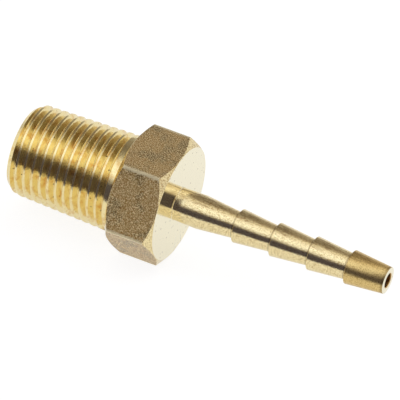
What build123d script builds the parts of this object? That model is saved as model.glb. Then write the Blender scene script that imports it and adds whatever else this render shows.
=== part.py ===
"""Hose barb tail: one brass turning with a taper pipe thread, a spanner hexagon and a barbed tail.

All sizes are in millimetres. X is the axis of the waterway, with the origin where it crosses the
hexagon's hose-side face. +X runs along the tail to its tip, -X to the small end of the thread.
The part lies on one flat of the hexagon, so +Z is up.
"""

from build123d import *

import math
import os

# Spanner hexagon
across_flats = 12.0
hex_length = 5.3
hex_chamfer_diameter = 12.0   # where the turned cone meets the end face
hex_chamfer_angle = 35.0      # from the end face
corner_rounding = 0.15

# Taper pipe thread, size 1/8: 55 degree form, right-handed, taper 1 in 16 on the diameter
thread_pitch = 25.4 / 28
gauge_diameter = 9.728        # over the crests at the gauge plane
gauge_length = 4.0            # from the small end to the gauge plane
radius_taper = 1 / 32
flank_half_angle = 27.5
crest_flat = 0.30             # the blank's own surface, left standing between the turns
root_flat = 0.18              # the full form has a rounded root, 0.03 deeper
thread_length = 11.9
collar_length = 0.85          # plain stretch between the thread and the hexagon
thread_start_radius = 4.18    # of the small end's face, inside its chamfer
thread_start_length = 0.75
groove_start_turns = 1.0      # wound in from outside the small end
groove_turns = 12.907
groove_start_angle = 223.4    # about X, from +Y towards +Z
groove_overcut = 0.08         # how far the cutter stands proud of the crests
runout_length = 3.0

# Barbed tail
barb_radius = 1.77            # also of the plain stem between the hexagon and the first barb
barb_foot_radius = 1.37
tip_radius = 1.40
stem_length = 2.53
barb_pitch = 4.11
barb_count = 5

# Waterway: a wide bore drilled from the thread end, then a narrow one through the tail
wide_bore_radius = 2.75
wide_bore_depth = 14.2
drill_point_angle = 118.0
narrow_bore_radius = 0.75
bore_edge_break = 0.15

# Worked out from the sizes above
thread_end_x = -hex_length - thread_length
thread_root_x = -hex_length - collar_length
tip_x = stem_length + barb_count * barb_pitch
flank_slope = math.tan(math.radians(flank_half_angle))
thread_depth = (thread_pitch - crest_flat - root_flat) / 2 / flank_slope


def crest_radius(x):
    """Radius over the thread's crests at x."""
    return gauge_diameter / 2 + (x - thread_end_x - gauge_length) * radius_taper


def turned(*points):
    """Solid of revolution about X from (x, radius) points that are closed along the axis."""
    outline = Polyline((points[0][0], 0), *points, (points[-1][0], 0), close=True)
    return revolve(make_face(outline), Axis.X)


def hexagon():
    """Hexagon bar with a flat below, its corners turned off by a cone on both end faces."""
    section = RegularPolygon(across_flats / 2, 6, major_radius=False)
    section = fillet(section.vertices(), corner_rounding)
    bar = extrude(Plane.YZ * section, amount=-hex_length)
    face_radius = hex_chamfer_diameter / 2
    rim_radius = across_flats / math.sqrt(3)
    rim_drop = (rim_radius - face_radius) * math.tan(math.radians(hex_chamfer_angle))
    return bar & turned(
        (-hex_length, face_radius),
        (-hex_length + rim_drop, rim_radius),
        (-rim_drop, rim_radius),
        (0, face_radius),
    )


def thread_blank():
    """Taper cone with a chamfered small end and a plain collar against the hexagon."""
    chamfer_x = thread_end_x + thread_start_length
    collar_radius = crest_radius(thread_root_x)
    return turned(
        (thread_end_x, thread_start_radius),
        (chamfer_x, crest_radius(chamfer_x)),
        (thread_root_x, collar_radius),
        (-hex_length / 2, collar_radius),
    )


def groove_section(at, outwards, along):
    """Section of the V groove's cutter: its root flat is on the path, its mouth clears the crests."""
    root_half = root_flat / 2
    height = thread_depth + groove_overcut
    mouth_half = root_half + height * flank_slope
    outline = Polyline(
        (0, -root_half),
        (height, -mouth_half),
        (height, mouth_half),
        (0, root_half),
        close=True,
    )
    return Plane(origin=at, x_dir=outwards, z_dir=along) * make_face(outline)


def groove_cutters():
    """The V groove turn by turn along the taper, then straight off along its last tangent."""
    cutters = []
    wound = 0.0
    while wound < groove_turns:
        turns = min(1.0, groove_turns - wound)
        start_x = thread_end_x + (wound - groove_start_turns) * thread_pitch
        angle = math.radians(groove_start_angle + 360 * wound)
        outwards = Vector(0, math.cos(angle), math.sin(angle))
        helix = Helix(
            thread_pitch,
            turns * thread_pitch,
            crest_radius(start_x) - thread_depth,
            cone_angle=math.degrees(math.atan(radius_taper)),
        )
        path = Plane(origin=(start_x, 0, 0), x_dir=outwards, z_dir=(1, 0, 0)) * helix
        section = groove_section(path @ 0, outwards, path % 0)
        cutters.append(sweep(section, path, is_frenet=True))
        wound += turns
    end_angle = math.radians(groove_start_angle + 360 * groove_turns)
    end_outwards = Vector(0, math.cos(end_angle), math.sin(end_angle))
    runout = groove_section(path @ 1, end_outwards, path % 1)
    cutters.append(extrude(runout, amount=runout_length, dir=path % 1))
    return cutters


def threaded_end():
    """The blank with its groove cut."""
    shank = thread_blank()
    for cutter in groove_cutters():
        shank -= cutter
    return shank


def barbed_tail():
    """Stem and equal saw-tooth barbs: each cone narrows towards the tip and ends in a sharp step."""
    points = [(-hex_length / 2, barb_radius), (stem_length, barb_radius)]
    for barb in range(1, barb_count):
        step_x = stem_length + barb * barb_pitch
        points += [(step_x, barb_foot_radius), (step_x, barb_radius)]
    points.append((tip_x, tip_radius))
    return turned(*points)


def waterway():
    """Cutter for the stepped bore, with a drill point and both mouths broken."""
    step_x = thread_end_x + wide_bore_depth
    point_length = (wide_bore_radius - narrow_bore_radius) / math.tan(math.radians(drill_point_angle / 2))
    return turned(
        (thread_end_x, wide_bore_radius + bore_edge_break),
        (thread_end_x + bore_edge_break, wide_bore_radius),
        (step_x, wide_bore_radius),
        (step_x + point_length, narrow_bore_radius),
        (tip_x, narrow_bore_radius),
    )


def hose_tail():
    """The whole fitting as one solid."""
    return threaded_end() + hexagon() + barbed_tail() - waterway()


os.makedirs("parts", exist_ok=True)
export_step(hose_tail(), "parts/hose_tail.step")
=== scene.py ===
"""Looks of the hose barb tail: one brass turning on a pale floor under soft studio light.

The piece is modelled in millimetres, as its sizes are, and brought to metres when it is finished.
X is the axis of the waterway, with the origin in the hexagon's hose-side face. +X runs along the
barbs to the tip, and the lowest flat of the hexagon rests on the floor.
"""

import math

import bpy
from mathutils import Matrix, Vector


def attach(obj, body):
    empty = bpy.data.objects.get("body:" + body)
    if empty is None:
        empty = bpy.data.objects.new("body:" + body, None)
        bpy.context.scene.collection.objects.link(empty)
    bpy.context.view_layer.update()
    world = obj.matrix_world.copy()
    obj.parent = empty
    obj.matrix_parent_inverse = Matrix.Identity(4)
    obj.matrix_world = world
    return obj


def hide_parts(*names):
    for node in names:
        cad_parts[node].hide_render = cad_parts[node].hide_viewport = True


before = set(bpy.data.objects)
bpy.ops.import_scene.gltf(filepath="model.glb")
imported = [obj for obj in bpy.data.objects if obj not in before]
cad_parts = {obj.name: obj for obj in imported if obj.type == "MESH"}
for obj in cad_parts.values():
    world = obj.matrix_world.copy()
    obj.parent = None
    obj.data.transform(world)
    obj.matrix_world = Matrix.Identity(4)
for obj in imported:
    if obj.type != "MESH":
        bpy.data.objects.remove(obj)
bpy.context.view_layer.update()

MM = 0.001

# Spanner hexagon
across_flats = 12.0
hex_length = 5.3
hex_chamfer_radius = 5.96
hex_chamfer_angle = math.radians(35)
corner_rounding = 0.157

# Taper pipe thread, size 1/8
thread_pitch = 25.4 / 28
gauge_radius = 9.728 / 2
gauge_length = 4.0        # from the small end to where that radius is taken
radius_taper = 1 / 32
flank_half_angle = math.radians(27.5)
crest_flat = 0.22         # the blank's own surface, left standing between the turns
root_radius = 0.05        # the tool's point
crest_edge = 0.012        # rounding of the crest's two edges
thread_length = 11.9
thread_start_radius = 4.18
thread_start_length = 0.75
groove_start_turns = 1.0  # pitches from the groove's start to the small end
groove_start_angle = math.radians(223.4)    # from +Y towards +Z
groove_turns = 12.907     # from its start to where the tool leaves

# Barbed tail
stem_root_radius = 1.69
stem_root_fillet = 0.10
barb_radius = 1.77
barb_foot_radius = 1.37
barb_edge = 0.06
tip_radius = 1.40
tip_edge = 0.06
stem_length = 2.53
barb_pitch = 4.11
barb_count = 5

# Waterway
wide_bore_radius = 2.75
wide_bore_depth = 14.2
drill_point_half_angle = math.radians(59)
narrow_bore_radius = 0.75
bore_edge_break = 0.15
tip_edge_break = 0.07

# Worked out from the sizes above
thread_end_x = -hex_length - thread_length
tip_x = stem_length + barb_count * barb_pitch
flank_slope = math.tan(flank_half_angle)
root_truncation = root_radius * (1 / math.sin(flank_half_angle) - 1)
thread_depth = (thread_pitch - crest_flat) / 2 / flank_slope - root_truncation
root_half = root_radius * math.cos(flank_half_angle)
crest_half = crest_flat / 2 - crest_edge * math.tan(math.pi / 4 - flank_half_angle / 2)
edge_width = crest_edge * math.cos(flank_half_angle)

# Mesh fineness
lathe_steps = 192
thread_steps = 144
root_steps = 5
edge_steps = 4
arc_steps = 4
corner_steps = 4
weld = 1e-4               # points closer than this become one
seed = 0.1                # side of the plane that is merged to an outline's first point
sharp_angle = math.radians(32)

# How the solids are put together
inside = 1.5              # how far the shank and the tail reach into the hexagon
clear = 0.3               # how far a cutter stands out of what it cuts
lead_turns = 1.5          # turns of the thread form wound before the groove's start
spare_turns = 4           # turns wound beyond the shank's length in all

# Camera, fitted to the photograph, with its distance and aim from the origin in the picture's own directions
camera_azimuth = math.radians(24.639)
camera_elevation = math.radians(43.832)
camera_roll = math.radians(2.542)
camera_distance = 692.8
aim_right = 2.094
aim_up = 0.374
focal_length = 625
sensor_width = 36

# Floor, in metres, with its middle well behind the part
floor_size = 6.0
floor_middle_y = 2.94


def deselect_all():
    """Leaves nothing selected, with Blender in object mode."""
    if bpy.context.object and bpy.context.object.mode != "OBJECT":
        bpy.ops.object.mode_set(mode="OBJECT")
    bpy.ops.object.select_all(action="DESELECT")


def draw_outline(name, points):
    """New object whose edges run from point to point in the XZ plane, each drawn out of the last."""
    deselect_all()
    x, z = points[0]
    bpy.ops.mesh.primitive_plane_add(size=seed, location=(x, 0, z))
    piece = bpy.context.object
    piece.name = name
    bpy.ops.object.transform_apply()
    bpy.ops.object.mode_set(mode="EDIT")
    bpy.ops.mesh.merge(type="CENTER")
    for next_x, next_z in points[1:]:
        bpy.ops.mesh.extrude_region_move(
            TRANSFORM_OT_translate={"value": (next_x - x, 0, next_z - z)}
        )
        x, z = next_x, next_z
    bpy.ops.mesh.select_all(action="SELECT")
    return piece


def turned(name, points):
    """Solid of revolution about X from an outline of (x, radius) points."""
    outline = [(points[0][0], 0), *points, (points[-1][0], 0)]
    piece = draw_outline(name, outline)
    bpy.ops.mesh.spin(steps=lathe_steps, angle=math.tau, center=(0, 0, 0), axis=(1, 0, 0))
    bpy.ops.mesh.select_all(action="SELECT")
    bpy.ops.mesh.remove_doubles(threshold=weld)
    bpy.ops.mesh.normals_make_consistent(inside=False)
    bpy.ops.object.mode_set(mode="OBJECT")
    return piece


def arc(x, radius, size, start, end):
    """Outline points round a small arc about (x, radius), from one angle to the other in degrees."""
    points = []
    for i in range(arc_steps + 1):
        angle = math.radians(start + (end - start) * i / arc_steps)
        points.append((x + size * math.cos(angle), radius + size * math.sin(angle)))
    return points


def cut_with(piece, tool, operation):
    """Boolean with another solid, which is used up."""
    deselect_all()
    bpy.context.view_layer.objects.active = piece
    modifier = piece.modifiers.new("cut", "BOOLEAN")
    modifier.object = tool
    modifier.operation = operation
    modifier.solver = "EXACT"
    bpy.ops.object.modifier_apply(modifier=modifier.name)
    bpy.data.objects.remove(tool)


def hexagon():
    """Six-sided bar with rounded corners, turned off by a cone at both ends."""
    deselect_all()
    corner = across_flats / math.sqrt(3)
    bpy.ops.mesh.primitive_cylinder_add(
        vertices=6,
        radius=corner,
        depth=hex_length,
        location=(-hex_length / 2, 0, 0),
        rotation=(0, math.pi / 2, 0),
    )
    bar = bpy.context.object
    bar.name = "brass_fitting"
    bpy.ops.object.transform_apply()
    bpy.ops.object.mode_set(mode="EDIT")
    bpy.ops.mesh.select_all(action="DESELECT")
    bpy.ops.object.mode_set(mode="OBJECT")
    for edge in bar.data.edges:
        a, b = (bar.data.vertices[i].co for i in edge.vertices)
        edge.select = abs(a.x - b.x) > hex_length / 2
    bpy.ops.object.mode_set(mode="EDIT")
    bpy.ops.mesh.select_mode(type="EDGE")
    bpy.ops.mesh.bevel(offset=corner_rounding * math.tan(math.pi / 6), segments=corner_steps)
    bpy.ops.mesh.select_mode(type="VERT")
    bpy.ops.object.mode_set(mode="OBJECT")
    reach = corner + clear - hex_chamfer_radius
    drop = reach * math.tan(hex_chamfer_angle)
    envelope = turned("hexagon_envelope", [
        (-hex_length, hex_chamfer_radius),
        (-hex_length + drop, hex_chamfer_radius + reach),
        (-drop, hex_chamfer_radius + reach),
        (0, hex_chamfer_radius),
    ])
    cut_with(bar, envelope, "INTERSECT")
    return bar


def thread_form(v):
    """Depth below the crest at v from its middle: flat, rounded edge, flank, rounded root."""
    from_root = thread_pitch / 2 - v
    if v <= crest_half:
        return 0.0
    if v <= crest_half + edge_width:
        return crest_edge - math.sqrt(crest_edge**2 - (v - crest_half)**2)
    if from_root <= root_half:
        return thread_depth - root_radius + math.sqrt(root_radius**2 - from_root**2)
    return (v - crest_flat / 2) / flank_slope


def crest_radius(x):
    """Radius over the thread's crests at x."""
    return gauge_radius + (x - thread_end_x - gauge_length) * radius_taper


def thread_radius(x, angle):
    """Radius of the threaded surface. After its last turn the tool leaves along its tangent."""
    turn = (angle - groove_start_angle) / math.tau
    wound = (x - thread_end_x) / thread_pitch + groove_start_turns
    groove = turn + round(wound - turn)
    across = abs(wound - groove) * thread_pitch
    cut = crest_radius(x) - thread_form(max(0.0, thread_pitch / 2 - across))
    past = (groove - groove_turns) * math.tau
    if past <= 0:
        return cut
    if past >= math.pi / 2:
        return crest_radius(x)
    return min(crest_radius(x), cut / math.cos(past))


def threaded_shank():
    """One pitch of the thread form wound along X, tapered, run out, cut to length and chamfered."""
    half = thread_pitch / 2
    rise = [-half + root_half * i / root_steps for i in range(root_steps + 1)]
    rise += [-crest_half - edge_width * i / edge_steps for i in reversed(range(edge_steps + 1))]
    offsets = rise + [-u for u in reversed(rise)]
    # The outline stands straight above the axis, and its ends lie where the groove passes there
    phase = (math.pi / 2 - groove_start_angle) / math.tau
    start_x = thread_end_x + (phase - groove_start_turns - lead_turns) * thread_pitch
    points = [(start_x + u, gauge_radius - thread_form(half - abs(u))) for u in offsets]
    shank = draw_outline("shank", points)
    bpy.ops.object.mode_set(mode="OBJECT")
    winding = shank.modifiers.new("winding", "SCREW")
    winding.axis = "X"
    winding.angle = math.tau
    winding.screw_offset = thread_pitch
    winding.iterations = math.ceil((thread_length + inside) / thread_pitch) + spare_turns
    winding.steps = thread_steps
    winding.render_steps = thread_steps
    winding.use_merge_vertices = True
    winding.merge_threshold = weld
    bpy.ops.object.modifier_apply(modifier=winding.name)
    for vertex in shank.data.vertices:
        x, y, z = vertex.co
        radius = thread_radius(x, math.atan2(z, y))
        turn_by = radius / math.hypot(y, z)
        vertex.co = (x, y * turn_by, z * turn_by)
    bpy.ops.object.mode_set(mode="EDIT")
    for cut_x, outward in ((thread_end_x - clear, -1), (-hex_length + inside + clear, 1)):
        bpy.ops.mesh.select_all(action="SELECT")
        bpy.ops.mesh.bisect(
            plane_co=(cut_x, 0, 0),
            plane_no=(outward, 0, 0),
            use_fill=True,
            clear_outer=True,
        )
    bpy.ops.mesh.select_all(action="SELECT")
    bpy.ops.mesh.remove_doubles(threshold=weld)
    bpy.ops.mesh.normals_make_consistent(inside=False)
    bpy.ops.object.mode_set(mode="OBJECT")
    # The chamfer's cone runs on until it is well clear of the crests
    chamfer_height = crest_radius(thread_end_x + thread_start_length) - thread_start_radius
    envelope = turned("shank_envelope", [
        (thread_end_x, thread_start_radius),
        (thread_end_x + 3 * thread_start_length, thread_start_radius + 3 * chamfer_height),
        (-hex_length + inside, thread_start_radius + 3 * chamfer_height),
    ])
    cut_with(shank, envelope, "INTERSECT")
    return shank


def barbed_tail():
    """Stem with a small fillet at the hexagon, and equal saw-tooth barbs narrowing to the tip."""
    fillet = stem_root_fillet
    points = [(-inside, stem_root_radius + fillet)]
    points += arc(fillet, stem_root_radius + fillet, fillet, 180, 270)
    points.append((stem_length, barb_radius))
    for barb in range(1, barb_count):
        step_x = stem_length + barb * barb_pitch
        points.append((step_x, barb_foot_radius))
        points += arc(step_x + barb_edge, barb_radius - barb_edge, barb_edge, 180, 85)
    points += arc(tip_x - tip_edge, tip_radius - tip_edge, tip_edge, 80, 0)
    return turned("tail", points)


def waterway():
    """Cutter for the stepped bore: wide to its drill point, then narrow out through the tip."""
    step_x = thread_end_x + wide_bore_depth
    point_length = (wide_bore_radius - narrow_bore_radius) / math.tan(drill_point_half_angle)
    return turned("waterway", [
        (thread_end_x - clear, wide_bore_radius + bore_edge_break + clear),
        (thread_end_x + bore_edge_break, wide_bore_radius),
        (step_x, wide_bore_radius),
        (step_x + point_length, narrow_bore_radius),
        (tip_x - tip_edge_break, narrow_bore_radius),
        (tip_x + clear, narrow_bore_radius + tip_edge_break + clear),
    ])


# Sockets of a Mix node that mixes colours: its share, its two colours and its result
SHARE, FIRST, SECOND, MIXED = 0, 6, 7, 2


def linear(code):
    """Linear colour, with alpha, of an sRGB hex value."""
    channels = [int(code[i:i + 2], 16) / 255 for i in (1, 3, 5)]
    return [c / 12.92 if c <= 0.04045 else ((c + 0.055) / 1.055) ** 2.4 for c in channels] + [1.0]


def add(tree, kind, inputs=None, **settings):
    """Adds a node, with its settings, and its inputs either linked from a socket or set to a value."""
    node = tree.nodes.new(kind)
    for name, value in settings.items():
        setattr(node, name, value)
    for name, value in (inputs or {}).items():
        if isinstance(value, bpy.types.NodeSocket):
            tree.links.new(value, node.inputs[name])
        else:
            node.inputs[name].default_value = value
    return node


def new_material(name):
    """Empty node material: its tree and its output node."""
    material = bpy.data.materials.new(name)
    material.use_nodes = True
    material.node_tree.nodes.clear()
    return material, material.node_tree, add(material.node_tree, "ShaderNodeOutputMaterial")


def place_in_mm(tree):
    """Place on the piece, in millimetres, so that a pattern's scale is its features per millimetre."""
    coords = add(tree, "ShaderNodeTexCoord")
    place = add(tree, "ShaderNodeVectorMath", {0: coords.outputs["Object"], "Scale": 1 / MM},
                operation="SCALE")
    return place.outputs[0]


def distance_from_axis(tree, place):
    """Distance from the waterway's axis, in millimetres."""
    across = add(tree, "ShaderNodeVectorMath", {0: place, 1: (0.0, 1.0, 1.0)}, operation="MULTIPLY")
    return add(tree, "ShaderNodeVectorMath", {0: across.outputs[0]}, operation="LENGTH").outputs["Value"]


def drawn_noise(tree, place, per_mm, detail, roughness=0.5):
    """Noise drawn out along or round the axis, by its features per millimetre in X, Y and Z."""
    spread = add(tree, "ShaderNodeVectorMath", {0: place, 1: per_mm}, operation="MULTIPLY")
    noise = add(tree, "ShaderNodeTexNoise", {"Vector": spread.outputs[0], "Scale": 1.0, "Detail": detail,
                                             "Roughness": roughness})
    return noise.outputs["Fac"]


def pits(tree, place, per_mm, inner, outer):
    """Share of small round pits, which fade out between two distances from their middle."""
    cells = add(tree, "ShaderNodeTexVoronoi", {"Vector": place, "Scale": per_mm})
    share = add(tree, "ShaderNodeMapRange", {"Value": cells.outputs["Distance"], "From Min": inner,
                                             "From Max": outer, "To Min": 0.8, "To Max": 0.0})
    return share.outputs[0]


def bare_metal(tree, output, colour, roughness, height, depth):
    """Metal shader. Its relief's depth is in metres, as Blender's are."""
    relief = add(tree, "ShaderNodeBump", {"Height": height, "Distance": depth})
    shader = add(tree, "ShaderNodeBsdfPrincipled", {"Base Color": colour, "Metallic": 1.0,
                                                    "Roughness": roughness, "Normal": relief.outputs[0]})
    tree.links.new(shader.outputs["BSDF"], output.inputs["Surface"])


def cut_thread():
    """Thread cut by a die: bright, dragged round the axis, with warm patches of oil and small pits."""
    material, tree, output = new_material("brass_cut_thread")
    place = place_in_mm(tree)
    drag = drawn_noise(tree, place, (7.0, 2.5, 2.5), 3.0, 0.6)
    patches = drawn_noise(tree, place, (1.3, 1.3, 1.3), 3.0, 0.6)
    warm = add(tree, "ShaderNodeMapRange", {"Value": patches, "From Min": 0.50, "From Max": 0.68,
                                            "To Min": 0.0, "To Max": 0.55})
    colour = add(tree, "ShaderNodeMix", {SHARE: warm.outputs[0], FIRST: linear("#F6E4AA"),
                                         SECOND: linear("#DDAA56")}, data_type="RGBA")
    # Dried oil stays dark in the pits
    oil = pits(tree, place, 1.0, 0.05, 0.10)
    colour = add(tree, "ShaderNodeMix", {SHARE: oil, FIRST: colour.outputs[MIXED],
                                         SECOND: linear("#4A3820")}, data_type="RGBA")
    gloss = add(tree, "ShaderNodeMapRange", {"Value": drag, "From Min": 0.3, "From Max": 0.7,
                                             "To Min": 0.10, "To Max": 0.20})
    bare_metal(tree, output, colour.outputs[MIXED], gloss.outputs[0], drag, 0.015 * MM)
    return material


def turned_tail():
    """Tail and hexagon chamfers as turned: fine rough rings give a mottled satin, duller on the last cone."""
    material, tree, output = new_material("brass_turned_satin")
    place = place_in_mm(tree)
    axes = add(tree, "ShaderNodeSeparateXYZ", {0: place})
    grain = drawn_noise(tree, place, (11.0, 8.0, 8.0), 1.0)
    last_start = tip_x - barb_pitch
    last = add(tree, "ShaderNodeMapRange", {"Value": axes.outputs["X"], "From Min": last_start - 0.1,
                                            "From Max": last_start + 0.05})
    dull = add(tree, "ShaderNodeMapRange", {"Value": grain, "From Min": 0.45, "From Max": 0.7})
    satin = add(tree, "ShaderNodeMix", {SHARE: dull.outputs[0], FIRST: linear("#F9E8B4"),
                                        SECOND: linear("#CAAC72")}, data_type="RGBA")
    deep = add(tree, "ShaderNodeMix", {SHARE: dull.outputs[0], FIRST: linear("#EACD88"),
                                       SECOND: linear("#B8985A")}, data_type="RGBA")
    colour = add(tree, "ShaderNodeMix", {SHARE: last.outputs[0], FIRST: satin.outputs[MIXED],
                                         SECOND: deep.outputs[MIXED]}, data_type="RGBA")
    # Painted shade: a dark brown line in the corner in front of each step
    along = add(tree, "ShaderNodeMath", {0: axes.outputs["X"], 1: stem_length}, operation="SUBTRACT")
    along = add(tree, "ShaderNodeMath", {0: along.outputs[0], 1: barb_pitch}, operation="FLOORED_MODULO")
    corner = add(tree, "ShaderNodeMapRange", {"Value": along.outputs[0], "From Min": barb_pitch - 0.30,
                                              "From Max": barb_pitch - 0.20, "To Min": 0.0, "To Max": 0.4})
    stepped = add(tree, "ShaderNodeMath", {0: axes.outputs["X"], 1: stem_length + 1},
                  operation="GREATER_THAN")
    corner = add(tree, "ShaderNodeMath", {0: corner.outputs[0], 1: stepped.outputs[0]}, operation="MULTIPLY")
    colour = add(tree, "ShaderNodeMix", {SHARE: corner.outputs[0], FIRST: colour.outputs[MIXED],
                                         SECOND: linear("#6E5330")}, data_type="RGBA")
    # Painted shade: brown streaks along the top, where each barb stands highest
    painted_top_streaks = drawn_noise(tree, place, (0.8, 6.0, 6.0), 2.0)
    painted_top_streaks = add(tree, "ShaderNodeMapRange", {"Value": painted_top_streaks, "From Min": 0.48, "From Max": 0.62,
                                               "To Min": 0.0, "To Max": 0.45})
    on_top = add(tree, "ShaderNodeMapRange", {"Value": axes.outputs["Z"], "From Min": 1.46, "From Max": 1.58})
    painted_top_streaks = add(tree, "ShaderNodeMath", {0: painted_top_streaks.outputs[0], 1: on_top.outputs[0]}, operation="MULTIPLY")
    colour = add(tree, "ShaderNodeMix", {SHARE: painted_top_streaks.outputs[0], FIRST: colour.outputs[MIXED],
                                         SECOND: linear("#8A6238")}, data_type="RGBA")
    gloss = add(tree, "ShaderNodeMapRange", {"Value": last.outputs[0], "To Min": 0.15, "To Max": 0.30})
    # The stem is smoother next to the hexagon
    depth = add(tree, "ShaderNodeMapRange", {"Value": axes.outputs["X"], "From Min": 1.0, "From Max": 1.5,
                                             "To Min": 0.002 * MM, "To Max": 0.010 * MM})
    bare_metal(tree, output, colour.outputs[MIXED], gloss.outputs[0], grain, depth.outputs[0])
    return material


def faced_end():
    """Faces turned across with a keen tool: nearly a mirror, with faint rings and dark pits. Its cream is a
    paler copy of the brass, a painted highlight for its bright reflection.
    """
    material, tree, output = new_material("brass_faced_painted_pale")
    place = place_in_mm(tree)
    rings = add(tree, "ShaderNodeTexNoise", {"W": distance_from_axis(tree, place), "Scale": 4.0,
                                             "Detail": 3.0, "Roughness": 0.7}, noise_dimensions="1D")
    # Painted highlight: the cream colour is paler than the brass elsewhere
    colour = add(tree, "ShaderNodeMix", {SHARE: pits(tree, place, 1.6, 0.06, 0.15), FIRST: linear("#FCF4D6"),
                                         SECOND: linear("#8A6C3C")}, data_type="RGBA")
    bare_metal(tree, output, colour.outputs[MIXED], 0.13, rings.outputs["Fac"], 0.006 * MM)
    return material


def blasted_flats():
    """Grit-blasted flats: dull brown grain with bright specks, darker stains and bright corners, partly worn
    and partly a painted highlight.
    """
    material, tree, output = new_material("brass_blasted")
    place = place_in_mm(tree)
    # Real grit leaves pits of 0.05 mm; these are drawn at 0.1 mm so that they show
    grit = drawn_noise(tree, place, (10.0, 10.0, 10.0), 2.0, 0.6)
    stains = drawn_noise(tree, place, (0.55, 0.55, 0.55), 4.0, 0.6)
    dirt = add(tree, "ShaderNodeMapRange", {"Value": stains, "From Min": 0.48, "From Max": 0.62,
                                            "To Min": 0.0, "To Max": 0.7})
    specks = add(tree, "ShaderNodeMapRange", {"Value": grit, "From Min": 0.47, "From Max": 0.60})
    ground = add(tree, "ShaderNodeMix", {SHARE: dirt.outputs[0], FIRST: linear("#B0894F"),
                                         SECOND: linear("#62502F")}, data_type="RGBA")
    colour = add(tree, "ShaderNodeMix", {SHARE: specks.outputs[0], FIRST: ground.outputs[MIXED],
                                         SECOND: linear("#FBE6B2")}, data_type="RGBA")
    # The corners are painted bright, in an edge that the grit makes uneven: partly wear from handling, partly
    # a painted highlight
    chipped = add(tree, "ShaderNodeMath", {0: grit, 1: 0.30, 2: distance_from_axis(tree, place)},
                  operation="MULTIPLY_ADD")
    wear_and_highlight = add(tree, "ShaderNodeMapRange", {"Value": chipped.outputs[0], "From Min": 6.93, "From Max": 7.00})
    colour = add(tree, "ShaderNodeMix", {SHARE: wear_and_highlight.outputs[0], FIRST: colour.outputs[MIXED],
                                         SECOND: linear("#F5E6BC")}, data_type="RGBA")
    # Seen along the flat the grit's peaks hide its pits, and it gleams
    glance = add(tree, "ShaderNodeLayerWeight", {"Blend": 0.5})
    gloss = add(tree, "ShaderNodeMapRange", {"Value": glance.outputs["Facing"], "From Min": 0.5,
                                             "From Max": 0.8, "To Min": 0.5, "To Max": 0.24})
    bare_metal(tree, output, colour.outputs[MIXED], gloss.outputs[0], grit, 0.10 * MM)
    return material


def drilled_bore():
    """Waterway as drilled: spiral scoring and traces of oil make it dull and brown."""
    material, tree, output = new_material("brass_drilled")
    scoring = drawn_noise(tree, place_in_mm(tree), (8.0, 1.5, 1.5), 2.0)
    colour = add(tree, "ShaderNodeMix", {SHARE: scoring, FIRST: linear("#E6BE78"), SECOND: linear("#B98B50")},
                 data_type="RGBA")
    bare_metal(tree, output, colour.outputs[MIXED], 0.35, scoring, 0.015 * MM)
    return material


def finish_of(face):
    """Name of the finish that a face has from the tool that cut it, by where it lies and looks."""
    x, y, z = face.center
    outward = (face.normal.y * y + face.normal.z * z) / max(math.hypot(y, z), 1e-6)
    if outward < -0.1:
        return "bore"
    if -hex_length + 0.01 < x < -0.01 and abs(face.normal.x) < 0.3:
        return "flat"
    if abs(x) < 0.01 or x > tip_x - 0.01:
        return "end"
    return "tail" if x > -hex_length else "thread"


def finish_regions(piece):
    """Gives each face its finish."""
    finishes = {
        "thread": cut_thread(),
        "tail": turned_tail(),
        "end": faced_end(),
        "flat": blasted_flats(),
        "bore": drilled_bore(),
    }
    for finish in finishes.values():
        piece.data.materials.append(finish)
    names = list(finishes)
    for face in piece.data.polygons:
        face.material_index = names.index(finish_of(face))


def shade_smooth(piece):
    """Smooth shading up to the sharp angle, where large faces keep their own direction."""
    deselect_all()
    piece.select_set(True)
    bpy.context.view_layer.objects.active = piece
    bpy.ops.object.shade_smooth_by_angle(angle=sharp_angle)
    weighting = piece.modifiers.new("weighting", "WEIGHTED_NORMAL")
    weighting.keep_sharp = True
    weighting.weight = 100
    bpy.ops.object.modifier_apply(modifier=weighting.name)


def camera():
    """Long lens at the photograph's angle, slightly rolled, aimed beside the middle of the part."""
    back = Vector((
        math.sin(camera_azimuth) * math.cos(camera_elevation),
        -math.cos(camera_azimuth) * math.cos(camera_elevation),
        math.sin(camera_elevation),
    ))
    level = Vector((math.cos(camera_azimuth), math.sin(camera_azimuth), 0))
    upright = back.cross(level)
    right = level * math.cos(camera_roll) + upright * math.sin(camera_roll)
    up = upright * math.cos(camera_roll) - level * math.sin(camera_roll)
    aim = (right * aim_right + up * aim_up) * MM
    data = bpy.data.cameras.new("camera")
    data.lens = focal_length
    data.sensor_width = sensor_width
    data.clip_start = 0.05
    data.clip_end = 10
    eye = bpy.data.objects.new("camera", data)
    place = Matrix((right, up, back)).transposed().to_4x4()
    place.translation = aim + back * camera_distance * MM
    eye.matrix_world = place
    bpy.context.scene.collection.objects.link(eye)
    bpy.context.scene.camera = eye


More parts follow.
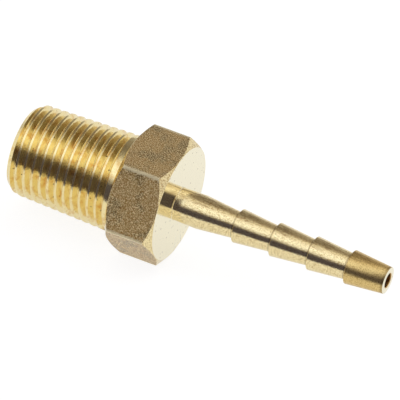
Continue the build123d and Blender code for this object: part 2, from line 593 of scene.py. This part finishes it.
def floor():
    """Pale table top, white to the eye. Part of its light is from the lamps, so that the shadow shows."""
    deselect_all()
    bpy.ops.mesh.primitive_plane_add(size=floor_size, location=(0, floor_middle_y, -across_flats / 2 * MM))
    top = bpy.context.object
    top.name = "floor"
    bpy.ops.object.transform_apply()
    material, tree, output = new_material("floor_white")
    path = add(tree, "ShaderNodeLightPath")
    seen = add(tree, "ShaderNodeMath", {0: path.outputs["Is Camera Ray"], 1: path.outputs["Is Glossy Ray"]},
               operation="ADD")
    seen = add(tree, "ShaderNodeMath", {0: seen.outputs[0], 1: path.outputs["Is Transmission Ray"]},
               operation="ADD", use_clamp=True)
    # The floor's own light is this share of what is seen of it, and the lamps' light is the rest
    share = add(tree, "ShaderNodeMath", {0: seen.outputs[0], 1: 0.62}, operation="MULTIPLY")
    paint = add(tree, "ShaderNodeBsdfDiffuse", {"Color": linear("#E6E6E4")})
    level = add(tree, "ShaderNodeMapRange", {"Value": path.outputs["Is Camera Ray"],
                                             "To Min": 1.15, "To Max": 1.4})
    glow = add(tree, "ShaderNodeEmission", {"Color": linear("#FFFFFF"), "Strength": level.outputs[0]})
    mix = add(tree, "ShaderNodeMixShader", {0: share.outputs[0], 1: paint.outputs[0], 2: glow.outputs[0]})
    tree.links.new(mix.outputs[0], output.inputs["Surface"])
    top.data.materials.append(material)


def lamp_levels(tree, height):
    """Light of the room by height: degrees up from the front, over the top and down behind."""
    stops = [
        (0, (0.084, 0.076, 0.105)),
        (28, (0.084, 0.076, 0.105)),
        (36, (0.36, 0.33, 0.32)),
        (44, (0.92, 0.92, 1.00)),
        (56, (1.15, 1.20, 1.30)),
        (72, (1.18, 1.22, 1.34)),
        (90, (1.02, 1.01, 1.04)),
        (104, (1.00, 0.96, 0.91)),
        (116, (0.60, 0.54, 0.48)),
        (126, (0.37, 0.325, 0.275)),
        (140, (0.335, 0.29, 0.25)),
        (160, (0.46, 0.42, 0.39)),
        (180, (0.62, 0.58, 0.56)),
    ]
    share = add(tree, "ShaderNodeMapRange", {"Value": height, "From Min": 0.0, "From Max": math.pi})
    ramp = add(tree, "ShaderNodeValToRGB", {"Fac": share.outputs["Result"]})
    elements = ramp.color_ramp.elements
    for index, (angle, level) in enumerate(stops):
        # A new ramp comes with two stops of its own
        element = elements[index] if index < 2 else elements.new(angle / 180)
        element.position = angle / 180
        element.color = (*level, 1)
    return ramp.outputs["Color"]


def studio():
    """The room as the metal sees it: a soft lamp overhead, dark in front of it, a dim wall behind it."""
    world = bpy.data.worlds.new("studio")
    bpy.context.scene.world = world
    world.use_nodes = True
    tree = world.node_tree
    tree.nodes.clear()
    output = add(tree, "ShaderNodeOutputWorld")
    place = add(tree, "ShaderNodeTexCoord")
    axes = add(tree, "ShaderNodeSeparateXYZ", {0: place.outputs["Generated"]})
    front = add(tree, "ShaderNodeMath", {0: axes.outputs["Y"], 1: -1.0}, operation="MULTIPLY")
    height = add(tree, "ShaderNodeMath", {0: axes.outputs["Z"], 1: front.outputs[0]}, operation="ARCTAN2")
    # The lamp lies further back towards +X, and narrows towards -X
    slant = add(tree, "ShaderNodeMapRange", {"Value": axes.outputs["X"], "From Min": -0.15, "From Max": 0.35,
                                             "To Min": 0.0, "To Max": math.radians(56)},
                interpolation_type="SMOOTHSTEP")
    height = add(tree, "ShaderNodeMath", {0: height.outputs[0], 1: slant.outputs[0]}, operation="SUBTRACT")
    squeeze = add(tree, "ShaderNodeMapRange", {
        "Value": height.outputs[0], "From Min": math.radians(55), "From Max": math.radians(100),
        "To Min": math.radians(8), "To Max": math.radians(-12),
    })
    narrow = add(tree, "ShaderNodeMapRange", {"Value": axes.outputs["X"], "From Min": -0.15, "From Max": -0.5,
                                              "To Min": 0.0, "To Max": squeeze.outputs[0]})
    # The wall behind it is darker there
    gloom = add(tree, "ShaderNodeMapRange", {"Value": height.outputs[0], "From Min": math.radians(85),
                                             "From Max": math.radians(105), "To Min": 0.0, "To Max": 0.52})
    gloom = add(tree, "ShaderNodeMapRange", {"Value": axes.outputs["X"], "From Min": -0.15, "From Max": -0.4,
                                             "To Min": 0.0, "To Max": gloom.outputs[0]})
    height = add(tree, "ShaderNodeMath", {0: height.outputs[0], 1: narrow.outputs[0]}, operation="SUBTRACT")
    lit = add(tree, "ShaderNodeMix", {SHARE: gloom.outputs[0], FIRST: lamp_levels(tree, height.outputs[0]),
                                      SECOND: (0, 0, 0, 1)}, data_type="RGBA")
    # Both sides of the room are pale
    side = add(tree, "ShaderNodeMath", {0: axes.outputs["X"]}, operation="ABSOLUTE")
    side = add(tree, "ShaderNodeMapRange", {"Value": side.outputs[0], "From Min": 0.86, "From Max": 0.97},
               interpolation_type="SMOOTHSTEP")
    room = add(tree, "ShaderNodeMix", {SHARE: side.outputs[0], FIRST: lit.outputs[MIXED],
                                       SECOND: (0.85, 0.84, 0.86, 1)}, data_type="RGBA")
    # The eye itself sees only white behind the part
    path = add(tree, "ShaderNodeLightPath")
    seen = add(tree, "ShaderNodeMix", {SHARE: path.outputs["Is Camera Ray"], FIRST: room.outputs[MIXED],
                                       SECOND: (1, 1, 1, 1)}, data_type="RGBA")
    sky = add(tree, "ShaderNodeBackground", {"Color": seen.outputs[MIXED], "Strength": 1.0})
    tree.links.new(sky.outputs[0], output.inputs["Surface"])


camera()
fitting = hexagon()
cut_with(fitting, threaded_shank(), "UNION")
cut_with(fitting, barbed_tail(), "UNION")
cut_with(fitting, waterway(), "DIFFERENCE")
finish_regions(fitting)
fitting.data.transform(Matrix.Scale(MM, 4))
shade_smooth(fitting)
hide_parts("hose_tail")
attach(fitting, "root")
floor()
studio()
bpy.context.scene.view_settings.view_transform = "Standard"
